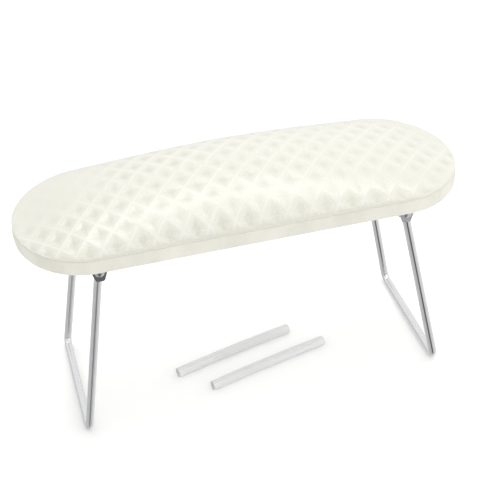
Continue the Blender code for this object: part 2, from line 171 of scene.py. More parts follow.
# ---------------------------------------------------------------- node work
class NodeSheet:
    """A short way to write one material's node tree."""

    def __init__(self, name: str) -> None:
        """Start a material that has only its shader and output."""
        self.material = bpy.data.materials.new(name)
        self.material.use_nodes = True
        self.tree = self.material.node_tree
        self.shader = self.tree.nodes["Principled BSDF"]

    def add(self, kind: str, **settings: object) -> bpy.types.Node:
        """Add a node.

        Args:
            kind: Its class name, without ShaderNode.
            settings: Properties to set on it.

        Returns:
            The node.
        """
        node = self.tree.nodes.new(f"ShaderNode{kind}")
        for key, value in settings.items():
            setattr(node, key, value)
        return node

    def join(self, out: bpy.types.NodeSocket, into: bpy.types.NodeSocket) -> None:
        """Link an output to an input."""
        self.tree.links.new(out, into)

    def place(self, stretch: Point3 = (1.0, 1.0, 1.0), turn: float = 0.0) -> bpy.types.NodeSocket:
        """Place a pattern on the object.

        Args:
            stretch: Scale of the coordinates; under 1 draws the pattern out.
            turn: Turn of the pattern about Z.

        Returns:
            The coordinates' socket.
        """
        source = self.add("TexCoord")
        mapping = self.add("Mapping", vector_type="TEXTURE")
        mapping.inputs["Scale"].default_value = tuple(1 / share for share in stretch)
        mapping.inputs["Rotation"].default_value = (0.0, 0.0, turn)
        self.join(source.outputs["Object"], mapping.inputs["Vector"])
        return mapping.outputs["Vector"]

    def noise(self, scale: float, detail: float = 2.0, rough: float = 0.5,
              stretch: Point3 = (1.0, 1.0, 1.0), turn: float = 0.0) -> bpy.types.NodeSocket:
        """Return a noise value over object coordinates.

        Args:
            scale: Noise scale, per metre.
            detail: Octaves.
            rough: Weight of the finer octaves.
            stretch: Stretch of the coordinates.
            turn: Turn of the coordinates about Z.

        Returns:
            The value socket.
        """
        node = self.add("TexNoise")
        node.inputs["Scale"].default_value = scale
        node.inputs["Detail"].default_value = detail
        node.inputs["Roughness"].default_value = rough
        self.join(self.place(stretch, turn), node.inputs["Vector"])
        return node.outputs["Fac"]

    def cells(self, scale: float, feature: str = "F1") -> bpy.types.Node:
        """Add cells over object coordinates.

        Args:
            scale: Cells per metre.
            feature: What the node measures.

        Returns:
            The Voronoi node.
        """
        node = self.add("TexVoronoi", feature=feature)
        node.inputs["Scale"].default_value = scale
        self.join(self.place(), node.inputs["Vector"])
        return node

    def ribs(self, scale: float, turn: float, distort: float = 0.0) -> bpy.types.NodeSocket:
        """Add fine parallel ribs across the XY plane.

        Args:
            scale: Wave scale, per metre.
            turn: Turn of the ribs about Z.
            distort: How far they waver.

        Returns:
            The value socket.
        """
        node = self.add("TexWave", wave_type="BANDS", bands_direction="X")
        node.inputs["Scale"].default_value = scale
        node.inputs["Distortion"].default_value = distort
        self.join(self.place(turn=turn), node.inputs["Vector"])
        return node.outputs["Fac"]

    def curve(self, value: bpy.types.NodeSocket, stops: dict[float, object]) -> bpy.types.Node:
        """Map a value through a colour ramp.

        Args:
            value: What to map.
            stops: Place to colour, or to one grey number.

        Returns:
            The ramp node.
        """
        ramp = self.add("ValToRGB")
        while len(ramp.color_ramp.elements) < len(stops):
            ramp.color_ramp.elements.new(0.5)
        for element, (spot, shade) in zip(ramp.color_ramp.elements, sorted(stops.items())):
            element.position = spot
            element.color = (*shade, 1.0) if isinstance(shade, tuple) else (shade,) * 3 + (1.0,)
        self.join(value, ramp.inputs["Fac"])
        return ramp

    def mix(self, share: object, first: object, second: object,
            blend: str = "MIX") -> bpy.types.NodeSocket:
        """Mix two colours.

        Args:
            share: A socket or a number.
            first: A socket or a colour.
            second: A socket or a colour.
            blend: The blend type.

        Returns:
            The mixed colour's socket.
        """
        node = self.add("Mix", data_type="RGBA", blend_type=blend)
        for index, value in ((0, share), (6, first), (7, second)):
            if isinstance(value, bpy.types.NodeSocket):
                self.join(value, node.inputs[index])
            elif isinstance(value, tuple):
                node.inputs[index].default_value = (*value, 1.0)
            else:
                node.inputs[index].default_value = value
        return node.outputs[2]

    def sum(self, operation: str, first: object, second: object) -> bpy.types.NodeSocket:
        """Work out a sum of two values.

        Args:
            operation: The math node's operation.
            first: A socket or a number.
            second: A socket or a number.

        Returns:
            The result's socket.
        """
        node = self.add("Math", operation=operation)
        for index, value in ((0, first), (1, second)):
            if isinstance(value, bpy.types.NodeSocket):
                self.join(value, node.inputs[index])
            else:
                node.inputs[index].default_value = value
        return node.outputs[0]

    def bump(self, height: bpy.types.NodeSocket, depth: float, strength: float = 1.0,
             under: bpy.types.NodeSocket | None = None) -> bpy.types.NodeSocket:
        """Return a bumped normal.

        Args:
            height: Height from 0 to 1.
            depth: Its real depth, in metres.
            strength: How strongly it shows.
            under: A normal to build on.

        Returns:
            The normal's socket.
        """
        node = self.add("Bump")
        node.inputs["Strength"].default_value = strength
        node.inputs["Distance"].default_value = depth
        self.join(height, node.inputs["Height"])
        if under is not None:
            self.join(under, node.inputs["Normal"])
        return node.outputs["Normal"]

    def set(self, **values: object) -> None:
        """Set or link the shader's own sockets.

        Args:
            values: Socket names, with _ for their spaces, and a value or a socket for each.
        """
        for key, value in values.items():
            socket = self.shader.inputs[key.replace("_", " ")]
            if isinstance(value, bpy.types.NodeSocket):
                self.join(value, socket)
            else:
                socket.default_value = value


# ---------------------------------------------------------------- finishes
@dataclass(frozen=True)
class PearlLeather:
    """Pale pearl leather with embossed lozenges, for the top."""

    # The crest colour is lighter and the pit colour darker and greener than the slope: partly a
    # tonal print, partly painted highlight on the crests and painted shade in the pits.
    lit_crest: Colour = (0.77, 0.762, 0.70)
    slope: Colour = (0.68, 0.67, 0.592)
    shaded_pit: Colour = (0.575, 0.58, 0.485)
    grain_scale: float = 1500.0
    rib_scale: float = 170.0

    def build(self) -> bpy.types.Material:
        """Return the material, which reads the mesh's emboss attribute."""
        sheet = NodeSheet("pearl_leather_embossed")
        mark = sheet.add("Attribute", attribute_name="emboss", attribute_type="GEOMETRY")
        parts = sheet.add("SeparateColor")
        sheet.join(mark.outputs["Color"], parts.inputs["Color"])
        shaded_pit, facet, lit_crest = (parts.outputs[i] for i in range(3))
        wash = sheet.noise(14.0, 3.0)
        # Painted shade in the pits and painted highlight on the crests, over the leather's tonal
        # print.
        tone = sheet.mix(sheet.curve(shaded_pit, {0.0: 0.0, 1.0: 1.0}).outputs["Color"],
                         self.slope, self.shaded_pit)
        tone = sheet.mix(lit_crest, tone, self.lit_crest)
        # Painted sparkle: pale flecks in the colour stand in for glints; the same flecks are also
        # made glossier through the roughness.
        sparkle_fleck = sheet.noise(900.0, 2.0, 0.7)
        tone = sheet.mix(sheet.sum("MULTIPLY", sheet.curve(sparkle_fleck, {0.52: 0.0, 0.62: 1.0})
                                   .outputs["Color"], 0.35), tone, (0.95, 0.95, 0.90))
        tone = sheet.mix(sheet.sum("MULTIPLY", wash, 0.10), tone, (0.70, 0.72, 0.63))
        ribs = sheet.mix(facet, self._grey(sheet, sheet.ribs(self.rib_scale, 0.86, 0.4)),
                         self._grey(sheet, sheet.ribs(self.rib_scale, -0.86, 0.4)))
        grain = sheet.cells(self.grain_scale).outputs["Distance"]
        normal = sheet.bump(grain, 0.00012, 0.35)
        normal = sheet.bump(ribs, 0.00010, 0.35, normal)
        gloss = sheet.curve(sparkle_fleck, {0.40: 0.36, 0.60: 0.25})
        sheet.set(Base_Color=tone, Roughness=gloss.outputs["Color"], Normal=normal,
                  Coat_Weight=0.22, Coat_Roughness=0.28, Sheen_Weight=0.08)
        return sheet.material

    @staticmethod
    def _grey(sheet: NodeSheet, value: bpy.types.NodeSocket) -> bpy.types.NodeSocket:
        """Return a value as a grey colour."""
        return sheet.curve(value, {0.0: 0.0, 1.0: 1.0}).outputs["Color"]


@dataclass(frozen=True)
class BandLeather:
    """The plain grained leather of the side band."""

    light: Colour = (0.80, 0.785, 0.70)
    dark: Colour = (0.70, 0.69, 0.605)

    def build(self) -> bpy.types.Material:
        """Return the material."""
        sheet = NodeSheet("band_leather_grained")
        wash = sheet.noise(38.0, 4.0, 0.6, (1.0, 1.0, 0.5))
        tone = sheet.curve(wash, {0.32: self.dark, 0.66: self.light}).outputs["Color"]
        pores = sheet.cells(1300.0).outputs["Distance"]
        creases = sheet.noise(420.0, 5.0, 0.65)
        tone = sheet.mix(sheet.sum("MULTIPLY", creases, 0.14), tone, (0.58, 0.57, 0.49))
        normal = sheet.bump(creases, 0.00018, 0.4)
        normal = sheet.bump(pores, 0.00012, 0.4, normal)
        gloss = sheet.curve(creases, {0.35: 0.50, 0.65: 0.36})
        sheet.set(Base_Color=tone, Roughness=gloss.outputs["Color"], Normal=normal,
                  Coat_Weight=0.12, Coat_Roughness=0.35)
        return sheet.material


@dataclass(frozen=True)
class LiningCloth:
    """Pressed fibre cloth under the pad, dimpled in a small square net."""

    light: Colour = (0.82, 0.81, 0.76)
    dark: Colour = (0.66, 0.655, 0.61)
    dimple_scale: float = 420.0

    def build(self) -> bpy.types.Material:
        """Return the material."""
        sheet = NodeSheet("lining_cloth_pressed")
        fibres = sheet.noise(900.0, 6.0, 0.75, (1.0, 0.25, 1.0), 0.5)
        tone = sheet.curve(fibres, {0.3: self.dark, 0.65: self.light}).outputs["Color"]
        first = sheet.ribs(self.dimple_scale / 3, math.radians(45))
        second = sheet.ribs(self.dimple_scale / 3, math.radians(-45))
        dimples = sheet.sum("MULTIPLY", first, second)
        tone = sheet.mix(sheet.sum("MULTIPLY", dimples, 0.25), tone, (0.60, 0.60, 0.56))
        normal = sheet.bump(dimples, 0.0002, 0.5)
        normal = sheet.bump(fibres, 0.0001, 0.6, normal)
        sheet.set(Base_Color=tone, Roughness=0.9, Normal=normal, Sheen_Weight=0.25)
        return sheet.material


@dataclass(frozen=True)
class Plated:
    """Bright plated steel with faint marks along one direction."""

    name: str
    bright: Colour
    dull: Colour
    polish: float
    haze: float
    stretch: Point3

    def build(self) -> bpy.types.Material:
        """Return the material."""
        sheet = NodeSheet(self.name)
        lines = sheet.noise(700.0, 4.0, 0.6, self.stretch)
        cloud = sheet.noise(45.0, 3.0)
        tone = sheet.curve(lines, {0.30: self.dull, 0.62: self.bright}).outputs["Color"]
        tone = sheet.mix(sheet.sum("MULTIPLY", cloud, 0.18), tone, self.dull)
        gloss = sheet.curve(cloud, {0.35: self.polish, 0.70: self.haze})
        normal = sheet.bump(lines, 0.00003, 0.35)
        sheet.set(Base_Color=tone, Metallic=1.0, Roughness=gloss.outputs["Color"], Normal=normal)
        return sheet.material


@dataclass(frozen=True)
class MilkySilicone:
    """Clear silicone tube, milky with a faint haze along it."""

    clear: Colour = (0.97, 0.972, 0.975)
    milky: Colour = (0.90, 0.905, 0.91)
    turn: float = SLEEVE_TURN

    def build(self) -> bpy.types.Material:
        """Return the material."""
        sheet = NodeSheet("clear_silicone_milky")
        haze = sheet.noise(260.0, 3.0, 0.5, (0.05, 1.0, 1.0), self.turn)
        tone = sheet.curve(haze, {0.30: self.milky, 0.70: self.clear}).outputs["Color"]
        flow = sheet.noise(420.0, 2.0, 0.5, (0.04, 1.0, 1.0), self.turn)
        gloss = sheet.curve(flow, {0.35: 0.26, 0.65: 0.42})
        sheet.set(Base_Color=tone, Roughness=gloss.outputs["Color"], IOR=1.41,
                  Transmission_Weight=0.25, Normal=sheet.bump(flow, 0.00003, 0.3))
        return sheet.material


@dataclass(frozen=True)
class Foam:
    """Open-celled foam."""

    light: Colour = (0.88, 0.86, 0.72)
    dark: Colour = (0.62, 0.58, 0.42)

    def build(self) -> bpy.types.Material:
        """Return the material."""
        sheet = NodeSheet("foam_open_cell")
        cells = sheet.cells(1100.0).outputs["Distance"]
        # Painted shade: the colour darkens towards each pore's centre, where the bump is deepest.
        tone = sheet.curve(cells, {0.15: self.dark, 0.55: self.light}).outputs["Color"]
        sheet.set(Base_Color=tone, Roughness=0.95, Normal=sheet.bump(cells, 0.0003, 0.7))
        return sheet.material


@dataclass(frozen=True)
class Plywood:
    """Sanded plywood with its grain along the pad."""

    light: Colour = (0.68, 0.52, 0.33)
    dark: Colour = (0.50, 0.35, 0.20)

    def build(self) -> bpy.types.Material:
        """Return the material."""
        sheet = NodeSheet("plywood_sanded")
        grain = sheet.noise(160.0, 6.0, 0.65, (0.06, 1.0, 1.0))
        tone = sheet.curve(grain, {0.30: self.dark, 0.62: self.light}).outputs["Color"]
        sheet.set(Base_Color=tone, Roughness=0.75, Normal=sheet.bump(grain, 0.0001, 0.5))
        return sheet.material


class Finishes:
    """Every finish of the rest, made once."""

    def __init__(self) -> None:
        """Build the materials."""
        self.top = PearlLeather().build()
        self.band = BandLeather().build()
        self.lining = LiningCloth().build()
        self.foam = Foam().build()
        self.board = Plywood().build()
        self.rod = Plated("rod_chrome_drawn", (0.86, 0.865, 0.87), (0.75, 0.755, 0.765),
                          0.15, 0.24, (1.0, 1.0, 0.02)).build()
        self.bracket = Plated("bracket_chrome_pressed", (0.84, 0.845, 0.85),
                              (0.60, 0.61, 0.62), 0.08, 0.16, (1.0, 0.1, 1.0)).build()
        self.rivet = Plated("rivet_steel_bright", (0.82, 0.825, 0.83), (0.58, 0.59, 0.60),
                            0.14, 0.26, (0.6, 1.0, 0.6)).build()
        self.screw = Plated("screw_steel_zinc", (0.72, 0.73, 0.74), (0.46, 0.47, 0.49),
                            0.22, 0.38, (1.0, 1.0, 1.0)).build()
        self.silicone = MilkySilicone().build()


# ---------------------------------------------------------------- the pad
@dataclass
class PadForm:
    """The pad's outline and domed top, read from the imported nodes."""

    end_length: float = 62.5 * MM
    end_fall: float = 0.90
    rim_height: float = 1.0 * MM
    length: float = field(init=False)
    width: float = field(init=False)
    seam_z: float = field(init=False)
    top_z: float = field(init=False)
    under_z: float = field(init=False)
    board_z: float = field(init=False)

    def __post_init__(self) -> None:
        """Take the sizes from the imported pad."""
        low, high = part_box("side_band")
        self.length = high.x - low.x
        self.width = high.y - low.y
        self.seam_z = high.z
        self.under_z = low.z
        self.top_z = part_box("top_cover")[1].z
        self.board_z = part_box("base_board")[1].z

    def outline(self, inset: float, share: float = 1.0, arc_steps: int = 30,
                side_steps: int = 20) -> list[Point2]:
        """Return the pad's outline, counterclockwise.

        Args:
            inset: How far it is drawn in.
            share: Scale of its width and of its ends.
            arc_steps: Segments in each rounded end.
            side_steps: Segments in each straight side.

        Returns:
            Points in the XY plane.
        """
        straight = self.length / 2 - self.end_length
        along = (self.end_length - inset) * share
        across = (self.width / 2 - inset) * share
        points: list[Point2] = []
        for centre, start in ((straight, -math.pi / 2), (-straight, math.pi / 2)):
            for step in range(arc_steps + 1):
                angle = start + math.pi * step / arc_steps
                points.append((centre + along * math.cos(angle), across * math.sin(angle)))
            side = math.copysign(across, centre)
            for step in range(1, side_steps):
                points.append((centre * (1 - 2 * step / side_steps), side))
        return points

    def share_at(self, x: float, y: float) -> float:
        """Find the scaled outline that passes through a point.

        Args:
            x: Place along the pad.
            y: Place across the pad.

        Returns:
            Its share, from 0 in the middle to 1 at the edge.
        """
        straight = self.length / 2 - self.end_length
        past = max(0.0, abs(x) - straight) / self.end_length
        return min(1.0, math.hypot(past, 2 * y / self.width))

    def rise(self, x: float, share: float) -> float:
        """Find the dome's height over its shoulder.

        Args:
            x: Place along the pad.
            share: Share of the outline there.

        Returns:
            The height in metres.
        """
        full = self.top_z - self.seam_z - self.rim_height
        lengthwise = 1 - self.end_fall * (2 * x / self.length) ** 2
        return full * lengthwise * math.sqrt(max(0.0, 1 - share * share))


@dataclass
class Lozenges:
    """The net of raised ridges round shallow pits that is pressed into the top."""

    across_x: float = 22.7 * MM
    across_y: float = 26.4 * MM
    centre: Point2 = (-86.3 * MM, -1.6 * MM)
    crest_height: float = 0.22 * MM
    crest_width: float = 0.9 * MM
    pit_depth: float = 0.95 * MM
    pit_reach: Point2 = (3.4 * MM, 7.2 * MM)
    slope_reach: Point2 = (1.6 * MM, 7.4 * MM)

    def read(self, x: float, y: float) -> tuple[float, float, float, float]:
        """Read the pattern at a point.

        Args:
            x: Place along the pad.
            y: Place across the pad.

        Returns:
            Height in metres, then pit, facet and crest shares from 0 to 1; the pit share carries
            painted shade and the crest share painted highlight.
        """
        u = (x - self.centre[0]) / self.across_x
        w = (y - self.centre[1]) / self.across_y
        first = abs((u - w) - round(u - w))
        second = abs((u + w) - round(u + w))
        pitch = 1 / math.hypot(1 / self.across_x, 1 / self.across_y)
        to_ridge = (0.5 - max(first, second)) * pitch
        lit_crest = math.exp(-(to_ridge / self.crest_width) ** 2)
        shaded_pit = smoothstep(*self.pit_reach, to_ridge)
        slope = smoothstep(*self.slope_reach, to_ridge)
        height = self.crest_height * lit_crest - self.pit_depth * slope
        return height, shaded_pit, 1.0 if first > second else 0.0, lit_crest


@dataclass
class Cushion:
    """The padded top: foam and cover as one crowned closed form."""

    form: PadForm
    lozenges: Lozenges = field(default_factory=Lozenges)
    arc_steps: int = 150
    side_steps: int = 190
    rings: int = 54
    rim_radius: float = 0.4 * MM
    tuck: float = 1.7 * MM
    swell_cap: float = 0.8 * MM
    swell_share: float = 0.07
    voxel: float = 5.5 * MM
    pressure: float = 4.0
    stiffness: float = 40.0
    frames: int = 20
    start_rings: int = 12
    unevenness: float = 0.12 * MM
    smoothed: float = 0.88
    smooth_end: Point2 = (-170 * MM, 38 * MM)
    smooth_reach: float = 75 * MM
    front_lane: float = -50 * MM

    def start_shape(self) -> bpy.types.Object:
        """Return the plain crowned form that the simulation fills."""
        shape = bmesh.new()
        below = [shape.verts.new((x, y, self.form.board_z)) for x, y in
                 self.form.outline(self.tuck)]
        shape.faces.new(list(reversed(below)))
        ring = below
        z = self.form.seam_z + self.form.rim_height
        for step in range(self.start_rings):
            share = math.cos(math.pi / 2 * step / self.start_rings)
            upper = [shape.verts.new((x, y, z + self.form.rise(x, share)))
                     for x, y in self.form.outline(self.tuck, share)]
            bridge(shape, ring, upper)
            ring = upper
        shape.faces.new(ring)
        return object_from("cushion_start", shape, bpy.data.materials[0])

    def swollen(self) -> BVHTree:
        """Fill the start shape by cloth simulation and return its surface.

        Returns:
            The swollen surface, to be read from above.
        """
        item = self.start_shape()
        remesh = item.modifiers.new("remesh", "REMESH")
        remesh.mode = "VOXEL"
        remesh.voxel_size = self.voxel
        self._bake(item)
        rest = [v.co.copy() for v in item.data.vertices]
        cloth = item.modifiers.new("filling", "CLOTH")
        cloth.settings.use_pressure = True
        cloth.settings.uniform_pressure_force = self.pressure
        cloth.settings.tension_stiffness = self.stiffness
        cloth.settings.effector_weights.gravity = 0.0
        cloth.point_cache.frame_start = 1
        cloth.point_cache.frame_end = self.frames
        for number in range(1, self.frames + 1):
            bpy.context.scene.frame_set(number)
        self._bake(item)
        bpy.context.scene.frame_set(1)
        moved = [v.co - start for v, start in zip(item.data.vertices, rest)]
        lift = sum(m.z for m, start in zip(moved, rest) if start.z > self.form.seam_z)
        lift /= max(1, sum(1 for start in rest if start.z > self.form.seam_z))
        for vertex, start, move in zip(item.data.vertices, rest, moved):
            vertex.co = (start.x, start.y, start.z + move.z - lift)
        tree = BVHTree.FromPolygons([v.co.copy() for v in item.data.vertices],
                                    [tuple(p.vertices) for p in item.data.polygons])
        bpy.data.objects.remove(item)
        return tree

    @staticmethod
    def _bake(item: bpy.types.Object) -> None:
        """Apply an object's modifiers to its mesh."""
        bpy.context.view_layer.update()
        graph = bpy.context.evaluated_depsgraph_get()
        mesh = bpy.data.meshes.new_from_object(item.evaluated_get(graph))
        item.modifiers.clear()
        item.data = mesh

    def build(self, finish: bpy.types.Material) -> bpy.types.Object:
        """Make the embossed cushion.

        Args:
            finish: The leather.

        Returns:
            The piece.
        """
        filled = self.swollen()
        form = self.form
        shape = bmesh.new()
        steps = {"arc_steps": self.arc_steps, "side_steps": self.side_steps}

        def ring_at(inset: float, z: float) -> list[bmesh.types.BMVert]:
            """Add one level ring."""
            return [shape.verts.new((x, y, z)) for x, y in form.outline(inset, **steps)]

        wall = ring_at(self.tuck, form.board_z + 0.3 * MM)
        shape.faces.new(list(reversed(wall)))
        ring = wall
        for inset, z in self._rim():
            upper = ring_at(inset, z)
            bridge(shape, ring, upper)
            ring = upper
        shoulder = form.seam_z + form.rim_height
        dome_start = len(shape.verts)
        for step in range(1, self.rings):
            share = math.cos(math.pi / 2 * step / self.rings * 0.985)
            points = form.outline(0.0, share, **steps)
            upper = [shape.verts.new((x, y, self._height(x, y, share, shoulder, filled)))
                     for x, y in points]
            bridge(shape, ring, upper)
            ring = upper
        close_across(shape, ring)
        self._emboss(shape, dome_start)
        return object_from("cushion_top", shape, finish)

    def _rim(self) -> list[Point2]:
        """Return the rolled rim as insets and heights, from the tuck up to the shoulder."""
        form = self.form
        low = form.seam_z + 0.02 * MM
        profile = [(self.tuck, low - 0.8 * MM)]
        for step in range(5):
            angle = math.pi / 2 * step / 4
            inset = self.rim_radius * (1 - math.sin(angle))
            profile.append((inset, low + self.rim_radius * (1 - math.cos(angle))))
        return profile

    def _height(self, x: float, y: float, share: float, shoulder: float,
                filled: BVHTree | None) -> float:
        """Find the top's height at a point, with the filling's unevenness.

        Args:
            x: Place along the pad.
            y: Place across the pad.
            share: Share of the outline there.
            shoulder: Height of the dome's foot.
            filled: The simulated surface, if there is one.

        Returns:
            The height in metres.
        """
        plain = shoulder + self.form.rise(x, share)
        z = plain + self.unevenness * ripple(x, y, 1.7)
        if filled is not None:
            hit = filled.ray_cast(Vector((x, y, 0.5)), Vector((0, 0, -1)))[0]
            if hit is not None:
                fade = smoothstep(1.0, 0.80, share)
                swell = self.swell_share * (hit.z - plain)
                z += max(-self.swell_cap, min(self.swell_cap, swell)) * fade
        return z

    def _relief(self, x: float, y: float, share: float) -> float:
        """Return how much of the pattern is left: less at the rear edge, round the back of the
        left end, along a lane near the front and towards the right.

        Args:
            x: Place along the pad.
            y: Place across the pad.
            share: Share of the outline through the point.

        Returns:
            1 where the pattern is full, down to a trace of it.
        """
        rear = smoothstep(-0.2, 0.5, 2 * y / self.form.width)
        edge = smoothstep(0.55, 0.90, share) * rear
        away = math.dist((x, y), self.smooth_end) / self.smooth_reach
        # A lane near the front, from left of the middle to the right end, keeps less of the
        # pattern and of its painted pit shade and crest highlight.
        lane_share = smoothstep(13 * MM, 3 * MM, abs(y - self.front_lane))
        lane_share *= 0.75 * smoothstep(-135 * MM, -75 * MM, x)
        left_over = 1 - self.smoothed * max(edge, smoothstep(1.0, 0.45, away), lane_share)
        return left_over * (1 - 0.25 * smoothstep(-40 * MM, 60 * MM, x))

    def _emboss(self, shape: bmesh.types.BMesh, first: int) -> None:
        """Press the lozenges into the top and mark their pits and crests for the finish, which
        paints shade into the pits and highlight onto the crests.

        Args:
            shape: The cushion.
            first: The dome's first vertex; those before it stay plain.
        """
        layer = shape.verts.layers.float_color.new("emboss")
        bmesh.ops.recalc_face_normals(shape, faces=shape.faces)
        shape.normal_update()
        shape.verts.ensure_lookup_table()
        for index, vertex in enumerate(shape.verts):
            x, y, _ = vertex.co
            if index < first:
                vertex[layer] = (0.0, 0.0, 0.0, 1.0)
                continue
            height, shaded_pit, facet, lit_crest = self.lozenges.read(x, y)
            share = self.form.share_at(x, y)
            fade = smoothstep(1.0, 0.985, share)
            pattern_left = self._relief(x, y, share)
            pattern_share = (0.80 + 0.20 * ripple(x, y, 5.0)) * pattern_left
            vertex[layer] = (shaded_pit * fade * pattern_share, facet, lit_crest * fade * pattern_share, 1.0)
            vertex.co += vertex.normal * height * fade * pattern_left
            vertex.co.z = min(vertex.co.z, self.form.top_z + 2.0 * MM)


@dataclass
class SideBand:
    """The leather band round the pad, folded under its lower edge."""

    form: PadForm
    bulge: float = 0.45 * MM
    corner: float = 1.6 * MM
    top_roll: float = 0.3 * MM
    hem: float = 10.0 * MM
    thickness: float = 1.1 * MM
    joint_angle: float = math.radians(240.0)
    joint_groove: tuple[float, ...] = (0.55 * MM, 0.25 * MM, 0.08 * MM)
    waviness: float = 0.16 * MM
    soft_steps: int = 4
    face_steps: int = 7
    seam_clearance: float = 0.02 * MM
    arc_steps: int = 110
    side_steps: int = 130

    def section(self) -> list[Point2]:
        """Return the band's closed cross-section as insets and heights."""
        low, high = self.form.under_z, self.form.seam_z
        outer = [(self.hem, low)]
        turns = [math.pi / 2 * step / self.soft_steps for step in range(self.soft_steps + 1)]
        for angle in turns:
            outer.append((self.corner * (1 - math.sin(angle)),
                          low + self.corner * (1 - math.cos(angle))))
        for step in range(1, self.face_steps):
            share = step / self.face_steps
            z = low + self.corner + (high - low - self.corner - self.top_roll) * share
            outer.append((-self.bulge * math.sin(math.pi * share), z))
        for angle in turns:
            outer.append((self.top_roll * (1 - math.cos(angle)),
                          high - self.seam_clearance - self.top_roll * (1 - math.sin(angle))))
        inner = [(self.thickness + 0.3 * MM, high - 0.5 * MM),
                 (self.thickness, low + self.thickness), (self.hem, low + self.thickness)]
        return outer + inner

    def build(self, finish: bpy.types.Material) -> bpy.types.Object:
        """Make the band as one closed strip.

        Args:
            finish: The leather.

        Returns:
            The piece.
        """
        shape = bmesh.new()
        section = self.section()
        loops = []
        for inset, z in section:
            points = self.form.outline(inset, 1.0, self.arc_steps, self.side_steps)
            loops.append([shape.verts.new((x, y, z)) for x, y in points])
        self._pucker(loops, section)
        for lower, upper in zip(loops, loops[1:] + loops[:1]):
            bridge(shape, lower, upper)
        return object_from("band_strip", shape, finish)

    def _pucker(self, loops: list[Ring], section: list[Point2]) -> None:
        """Give the outer face its slight waviness and the joint's groove.

        Args:
            loops: The band's rings, in the section's order.
            section: Its cross-section.
        """
        count = len(loops[0])
        joint = round(self.arc_steps + self.side_steps + self.arc_steps
                      * (self.joint_angle - math.pi / 2) / math.pi)
        middle = (self.form.under_z + self.form.seam_z) / 2
        half = (self.form.seam_z - self.form.under_z) / 2
        for loop, (inset, z) in zip(loops, section):
            if inset > 2.0 * MM:
                continue
            share = 1 - abs(z - middle) / half
            for index, vertex in enumerate(loop):
                x, y, _ = vertex.co
                out = Vector((loop[(index + 1) % count].co.y - loop[index - 1].co.y,
                              loop[index - 1].co.x - loop[(index + 1) % count].co.x, 0.0))
                wave = self.waviness * ripple(1.6 * x, 1.6 * y + 8 * z, 0.4) * share
                gap = abs(index - joint)
                if gap < len(self.joint_groove):
                    wave -= self.joint_groove[gap] * min(1.0, 2.5 * share)
                vertex.co += out.normalized() * wave


@dataclass
class Underside:
    """The cloth lining stapled under the pad, over the band's hem."""

    form: PadForm
    inset: float = 8.4 * MM
    thickness: float = 0.8 * MM
    staple_pitch: float = 24.0 * MM
    staple_width: float = 9.0 * MM
    staple_wire: float = 0.55 * MM
    lift: float = 0.15 * MM
    deepest_sag: float = 0.5 * MM
    shares: tuple[float, ...] = (1.0, 0.985, 0.965, 0.93, 0.88, 0.80, 0.65, 0.45, 0.25, 0.08)

    def build_lining(self, finish: bpy.types.Material) -> bpy.types.Object:
        """Make the lining with small puckers between its staples.

        Args:
            finish: The cloth.

        Returns:
            The piece.
        """
        shape = bmesh.new()
        count = round(self._around() / self.staple_pitch)
        loops_low, loops_high = [], []
        for share in self.shares:
            points = self.form.outline(self.inset, share, 60, 90)
            low, high = [], []
            for index, (x, y) in enumerate(points):
                wave = math.cos(2 * math.pi * count * index / len(points))
                edge = smoothstep(0.80, 1.0, share)
                sag = 0.22 * MM * (1 - edge) * (0.5 + 0.5 * ripple(x, y, 3.3))
                sag += 0.35 * MM * edge * smoothstep(1.0, 0.9, share) * (1 - wave) * 4
                z = self.form.under_z - self.lift - min(sag, self.deepest_sag)
                low.append(shape.verts.new((x, y, z)))
                high.append(shape.verts.new((x, y, z + self.thickness)))
            loops_low.append(low)
            loops_high.append(high)
        for loops in (loops_low, loops_high):
            for outer, inner in zip(loops, loops[1:]):
                bridge(shape, outer, inner)
            close_across(shape, loops[-1])
        bridge(shape, loops_low[0], loops_high[0])
        return object_from("underside_lining", shape, finish)

    def _around(self) -> float:
        """Return the length of the lining's edge."""
        points = self.form.outline(self.inset)
        return sum(math.dist(a, b) for a, b in zip(points, points[1:] + points[:1]))

    def build_staples(self, finish: bpy.types.Material) -> bpy.types.Object:
        """Make the row of staples along the lining's edge.

        Args:
            finish: The wire.

        Returns:
            The piece.
        """
        shape = bmesh.new()
        points = self.form.outline(self.inset + 2.6 * MM, 1.0, 60, 90)
        total = sum(math.dist(a, b) for a, b in zip(points, points[1:] + points[:1]))
        count = round(total / self.staple_pitch)
        walked, due = 0.0, 0.0
        for here, ahead in zip(points, points[1:] + points[:1]):
            span = math.dist(here, ahead)
            while due < walked + span and round(due / total * count) < count:
                share = (due - walked) / span
                spot = Vector((here[0] + (ahead[0] - here[0]) * share,
                               here[1] + (ahead[1] - here[1]) * share, 0))
                along = Vector((ahead[0] - here[0], ahead[1] - here[1], 0)).normalized()
                self._staple(shape, spot, along)
                due += total / count
            walked += span
        return object_from("underside_staples", shape, finish)

    def _staple(self, shape: bmesh.types.BMesh, spot: Vector, along: Vector) -> None:
        """Add one staple's crown with its two bent shoulders.

        Args:
            shape: Where it goes.
            spot: Its middle.
            along: Its direction.
        """
        wire = self.staple_wire
        half = self.staple_width / 2
        z = self.form.under_z - self.lift - wire / 2
        path = [(-half, wire * 1.2), (-half + wire * 0.2, wire * 0.25), (-half + wire, 0.0),
                (half - wire, 0.0), (half - wire * 0.2, wire * 0.25), (half, wire * 1.2)]
        sweep(shape, [spot + along * a + Vector((0, 0, z + b)) for a, b in path], wire / 2, 8,
              along.cross(Vector((0, 0, 1))))


